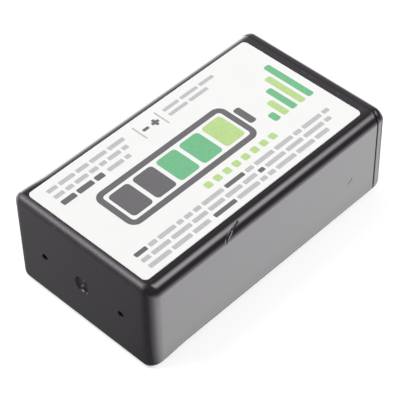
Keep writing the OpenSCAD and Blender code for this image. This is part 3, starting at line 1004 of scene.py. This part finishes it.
def paint_solids():
    """Gives the solids that stay in view their own finishes."""
    snap = plated("snap_plate", (0.74, 0.72, 0.68), 0.2)
    rivet = plated("rivet_plate", (0.70, 0.68, 0.64), 0.26)
    can = plated("cell_can", (0.60, 0.60, 0.60), 0.3, (8.0, 1.0, 8.0))
    strip = plated("nickel_strip", (0.72, 0.69, 0.63), 0.28, (1.0, 10.0, 1.0))
    film = soft_sheet("shrink_film", (0.03, 0.15, 0.36), 0.22, 1.5, 0.01)
    card = soft_sheet("pressed_card", (0.45, 0.31, 0.14), 0.75, 4.0, 0.03)
    foam = soft_sheet("foam_pad", (0.12, 0.12, 0.13), 0.9, 5.0, 0.08)
    finishes = {
        "positive_snap": snap, "negative_snap": snap, "positive_rivet": rivet, "negative_rivet": rivet,
        "positive_lead": strip, "negative_lead": strip, "stack_sleeve": film, "top_card": card,
        "bottom_pad": foam, "cell_link": strip, "cell": can,
    }
    for name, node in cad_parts.items():
        material = finishes.get(name.rstrip("_0123456789"))
        if material:
            node.data.materials.clear()
            node.data.materials.append(material)


# Stage: floor, world and camera. The tables hold (place, level) points of what reflections see
FLOOR_SIZE = 4000.0
FLOOR_LIFT = 0.55
FLOOR_GAIN = 0.8
FRONT_LEVELS = [
    (0, 1.6), (1.2, 2.9), (2.5, 3.25), (9.5, 3.55), (16.5, 2.5), (30, 1.6), (50, 0.85), (76, 0.35),
    (110, 0.25),
]
NEAR_TURN = [(0, 0.06), (15, 0.08), (30, 0.15), (45, 0.3), (60, 0.5), (75, 0.8), (90, 1.0)]
FAR_TURN = [(0, 0.45), (15, 0.6), (30, 0.85), (45, 1.0), (90, 1.0)]
FAR_FALL = [(0, 1.0), (2, 0.86), (4, 0.68), (8, 0.42), (12, 0.28), (30, 0.2)]
BACK_LEVELS = [(0, 0.6), (9, 1.0), (20, 2.0), (34, 3.4), (95, 6.2)]
FAR_BORDER = (15.0, 40.0)
BACK_BORDER = (-14.0, 6.0)
BACK_FALL_BORDER = (-6.5, -1.5)
LEFT_BORDER = (CLOSED_X + 2.0, CLOSED_X - 0.5)
LEAST_LEVEL = 0.3
LEFT_LEVELS = [(-20, 0.18), (-12, 0.2), (-6, 0.43), (14, 0.62), (40, 0.66)]
DIFFUSE_ROOM = 0.33
WINDOW_OUTER, WINDOW_INNER = 1.35, 0.25
BACK_GLOW = [
    (0.0, 7.0), (0.1, 6.4), (0.29, 4.2), (0.5, 1.9), (0.66, 0.78), (0.75, 0.5), (0.9, 0.38), (1.0, 0.35),
]
BACK_EDGE = (0.67, 0.9)
BACK_LEAN = 0.8
ROOM_GLOW = [(0.0, 0.26), (0.5, 0.3), (0.87, 0.4), (1.0, 0.35)]
KEY_WINDOW = ((0.4906, -0.5640, 0.6647), 0.17, 0.32, 5.9)
KEY_CORE = ((0.4906, -0.5560, 0.6714), 0.17, 0.08, 1.3)
FILL_WINDOW = ((-0.40, 0.488, 0.776), 0.46, 0.3, 11.0)

# Lamps as (direction, width in degrees, radiance)
KEY_LAMP = ((0.49, -0.55, 0.675), 28.0, 6.55)
FILL_LAMP = ((-0.32, 0.49, 0.81), 33.0, 5.35)
LAMP_DISTANCE = 1.2


class Stage(Nodes):
    """Nodes of the floor and the world, which light the object and are no part of it."""

    def curve(self, value, points):
        """Level at a value, in a smooth line through (value, level) points."""
        low, high = points[0][0], points[-1][0]
        top = max(level for _, level in points)
        reach = {"Value": value, "From Min": low, "From Max": high}
        share = self.put("ShaderNodeMapRange", reach).outputs[0]
        ramp = self.put("ShaderNodeValToRGB", {0: share})
        elements = ramp.color_ramp.elements
        while len(elements) < len(points):
            elements.new(0.5)
        for element, (place, level) in zip(elements, points):
            element.position = (place - low) / (high - low)
            element.color = grey(level / top)
        return self.math("MULTIPLY", ramp.outputs[0], top)

    def degrees(self, up, along):
        """Angle of a direction, in degrees."""
        return self.math("DEGREES", self.math("ARCTAN2", up, along))


def make_floor():
    """Wide floor under the case."""
    half = FLOOR_SIZE / 2
    bm = bmesh.new()
    corners = [(-half, -half, 0.0), (half, -half, 0.0), (half, half, 0.0), (-half, half, 0.0)]
    bm.faces.new([bm.verts.new(corner) for corner in corners])
    sheet = new_object("floor", bm)
    sheet.data.materials.append(floor_material())


def floor_material():
    """Pale floor that shows as white and keeps the shadow. Reflections see bright patches on it."""
    material = bpy.data.materials.new("floor")
    material.use_nodes = True
    s = Stage(material.node_tree)
    x, y, _ = s.put("ShaderNodeSeparateXYZ", {0: s.place_mm()}).outputs
    ahead = s.math("SUBTRACT", -HALF_W, y)
    corner_ahead = s.math("SUBTRACT", FRONT_CORNER_R - HALF_W, y)
    near = s.degrees(corner_ahead, s.math("SUBTRACT", CLOSED_X + FRONT_CORNER_R, x))
    far = s.degrees(corner_ahead, s.math("SUBTRACT", x, OPEN_X - FRONT_CORNER_R))
    front = s.math("MULTIPLY", s.curve(ahead, FRONT_LEVELS), s.curve(near, NEAR_TURN))
    front = s.math("MULTIPLY", front, s.curve(far, FAR_TURN))
    fall = s.curve(s.math("SUBTRACT", x, OPEN_X), FAR_FALL)
    front = s.math("MULTIPLY", front, s.math("MAXIMUM", fall, s.step(far, *FAR_BORDER)))
    front = s.math("MULTIPLY", front, s.math("GREATER_THAN", ahead, 0.0))
    beyond = s.math("MAXIMUM", s.math("SUBTRACT", x, OPEN_X), s.math("SUBTRACT", y, HALF_W))
    back = s.math("MULTIPLY", s.curve(beyond, BACK_LEVELS), s.step(s.math("ADD", x, y), *BACK_BORDER))
    back = s.math("MULTIPLY", back, s.math("MAXIMUM", fall, s.step(y, *BACK_FALL_BORDER)))
    left = s.math("MULTIPLY", s.curve(y, LEFT_LEVELS), s.step(x, *LEFT_BORDER))
    level = s.math("MAXIMUM", s.math("MAXIMUM", front, back), s.math("MAXIMUM", left, LEAST_LEVEL))
    seen = s.put("ShaderNodeEmission", {"Strength": s.math("MULTIPLY", level, FLOOR_GAIN)})
    path = s.put("ShaderNodeLightPath")
    lift_level = s.math("MULTIPLY", path.outputs["Is Camera Ray"], FLOOR_LIFT)
    lift = s.put("ShaderNodeEmission", {"Strength": lift_level})
    pale = s.put("ShaderNodeBsdfDiffuse", {"Color": grey(0.8)})
    plain = s.put("ShaderNodeAddShader", {0: pale.outputs[0], 1: lift.outputs[0]})
    shaders = {0: path.outputs["Is Glossy Ray"], 1: plain.outputs[0], 2: seen.outputs[0]}
    both = s.put("ShaderNodeMixShader", shaders)
    s.put("ShaderNodeOutputMaterial", {"Surface": both.outputs[0]})
    return material


def lamp(name, direction, width, radiance):
    """Soft square lamp that faces the case. Reflections see the room's windows in its place."""
    data = bpy.data.lights.new(name, "AREA")
    data.shape = "SQUARE"
    data.size = 2 * LAMP_DISTANCE * math.tan(math.radians(width / 2))
    data.energy = radiance * math.pi * data.size ** 2
    light = bpy.data.objects.new(name, data)
    bpy.context.scene.collection.objects.link(light)
    away = Vector(direction).normalized()
    light.location = away * LAMP_DISTANCE
    light.rotation_euler = away.to_track_quat("Z", "Y").to_euler()
    light.visible_camera = False
    light.visible_glossy = False


def window(s, direction, middle, half_width, half_height, radiance):
    """Soft bright patch of the room, as seen from the case."""
    away = Vector(middle).normalized()
    across = Vector((1, 0, 0))
    across = (across - away * across.dot(away)).normalized()
    tall = away.cross(across)

    def along(axis):
        return s.vector("DOT_PRODUCT", direction, tuple(axis)).outputs["Value"]

    def inside(value, half):
        return s.step(s.math("ABSOLUTE", value), half * WINDOW_OUTER, half * WINDOW_INNER)

    patch = s.math("MULTIPLY", inside(along(across), half_width), inside(along(tall), half_height))
    patch = s.math("MULTIPLY", patch, s.math("GREATER_THAN", along(away), 0.0))
    return s.math("MULTIPLY", patch, radiance)


def set_world():
    """White behind the object. Reflections see a grey room with two windows and a bright back wall."""
    world = bpy.data.worlds.new("studio")
    bpy.context.scene.world = world
    world.use_nodes = True
    s = Stage(world.node_tree)
    direction = s.put("ShaderNodeTexCoord").outputs["Generated"]
    x, y, z = s.put("ShaderNodeSeparateXYZ", {0: direction}).outputs
    level_length = s.math("SQRT", s.math("ADD", s.math("MULTIPLY", x, x), s.math("MULTIPLY", y, y)))
    diagonal = s.math("MULTIPLY", s.math("ADD", x, y), 0.7071)
    toward = s.math("DIVIDE", diagonal, s.math("MAXIMUM", level_length, 0.01))
    wall = s.step(toward, *BACK_EDGE)
    lean = s.math("ADD", s.math("MULTIPLY", s.math("SUBTRACT", x, y), BACK_LEAN), 1.0)
    room = s.math("MULTIPLY", s.curve(z, ROOM_GLOW), s.math("SUBTRACT", 1.0, wall))
    back = s.math("MULTIPLY", s.math("MULTIPLY", s.curve(z, BACK_GLOW), wall), lean)
    seen = s.math("ADD", room, back)
    for patch in (KEY_WINDOW, KEY_CORE, FILL_WINDOW):
        seen = s.math("ADD", seen, window(s, direction, *patch))
    path = s.put("ShaderNodeLightPath")
    mirrored = s.math("MAXIMUM", path.outputs["Is Glossy Ray"], path.outputs["Is Transmission Ray"])
    dull = s.math("MULTIPLY", s.math("SUBTRACT", 1.0, mirrored), DIFFUSE_ROOM)
    strength = s.math("ADD", s.math("MULTIPLY", seen, mirrored), dull)
    strength = s.math("MAXIMUM", strength, path.outputs["Is Camera Ray"])
    background = s.put("ShaderNodeBackground", {"Strength": strength})
    s.put("ShaderNodeOutputWorld", {"Surface": background.outputs[0]})


CAMERA_TARGET = (-1.5, -0.8, 8.0)
CAMERA_AZIMUTH = -45.12
CAMERA_ELEVATION = 46.23
CAMERA_ROLL = -1.35
CAMERA_DISTANCE = 227.75
CAMERA_LENS = 149.344
CAMERA_CLIP = (0.01, 20.0)
SENSOR = 36.0


def set_camera():
    """Camera at the photograph's viewing angle."""
    azimuth, elevation = math.radians(CAMERA_AZIMUTH), math.radians(CAMERA_ELEVATION)
    roll = math.radians(CAMERA_ROLL)
    level = math.cos(elevation)
    back = Vector((math.sin(azimuth) * level, -math.cos(azimuth) * level, math.sin(elevation)))
    right = Vector((0, 0, 1)).cross(back).normalized()
    up = back.cross(right)
    turned_right = right * math.cos(roll) + up * math.sin(roll)
    turned_up = up * math.cos(roll) - right * math.sin(roll)
    turn = Matrix((turned_right, turned_up, back)).transposed()
    data = bpy.data.cameras.new("camera")
    data.lens = CAMERA_LENS
    data.sensor_width = SENSOR
    data.clip_start, data.clip_end = CAMERA_CLIP
    camera = bpy.data.objects.new("camera", data)
    bpy.context.scene.collection.objects.link(camera)
    place = (Vector(CAMERA_TARGET) + back * CAMERA_DISTANCE) * MM
    camera.matrix_world = Matrix.Translation(place) @ turn.to_4x4()
    bpy.context.scene.camera = camera


def main():
    """Dresses every piece and sets the stage."""
    dress(make_housing(), case_plastic(), ["housing"])
    make_curls(torn_plastic())
    cap = cap_plastic()
    dress(make_cap(), cap, ["end_cap"])
    dress(make_label(), label_film(), ["label"])
    print_label()
    polarity_marks(cap)
    paint_solids()
    make_floor()
    lamp("key", *KEY_LAMP)
    lamp("fill", *FILL_LAMP)
    set_world()
    set_camera()
    bpy.context.scene.view_settings.view_transform = "Standard"


main()
